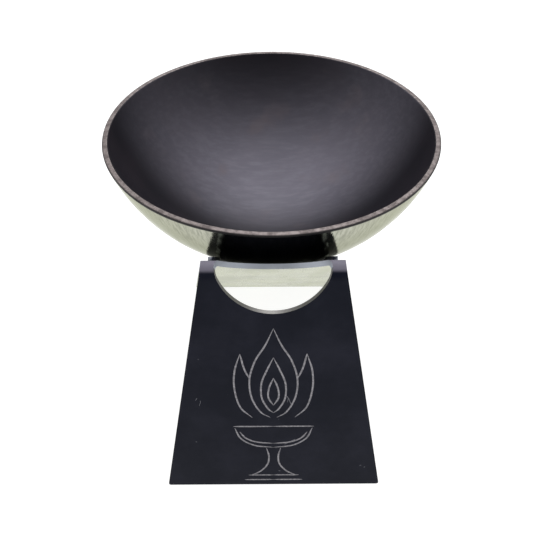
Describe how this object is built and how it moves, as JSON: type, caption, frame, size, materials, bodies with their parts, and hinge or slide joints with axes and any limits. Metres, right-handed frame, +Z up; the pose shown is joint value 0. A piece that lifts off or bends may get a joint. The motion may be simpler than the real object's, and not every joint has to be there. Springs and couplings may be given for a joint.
{
  "type": "coal forge",
  "caption": "Small coal hearth: an open dished steel bowl resting loose in a cradle on the sloping back leg of a folded sheet stand.",
  "frame": {"origin": "on the ground, under the middle of the whole object's length and width", "axes": "+Z up, +X along the fold of the stand, -Y towards the nearly upright front leg that carries the ornament"},
  "size_m": [0.23, 0.2922, 0.1709],
  "materials": {
    "black_sheet": "satin black coating on the outer faces, bare bright steel on the cut edges and inner faces",
    "polished_bowl": "ground and polished outside, oil-blackened inside, ground rim",
    "black_plate": "satin black coating with bare cut edges",
    "black_rod": "satin black coating, peened ends",
    "weld_metal": "darkened weld run"
  },
  "bodies": {
    "stand": {"stand_sheet": "black_sheet", "left_cradle_plate": "black_plate", "right_cradle_plate": "black_plate", "cradle_tie_rod": "black_rod", "weld_beads": "weld_metal"},
    "bowl": {"bowl": "polished_bowl"}
  },
  "joints": [
    {"name": "bowl_lift", "type": "slide", "parent": "stand", "child": "bowl", "axis": [0, 0, 1], "range_m": [0, 0.1]}
  ]
}
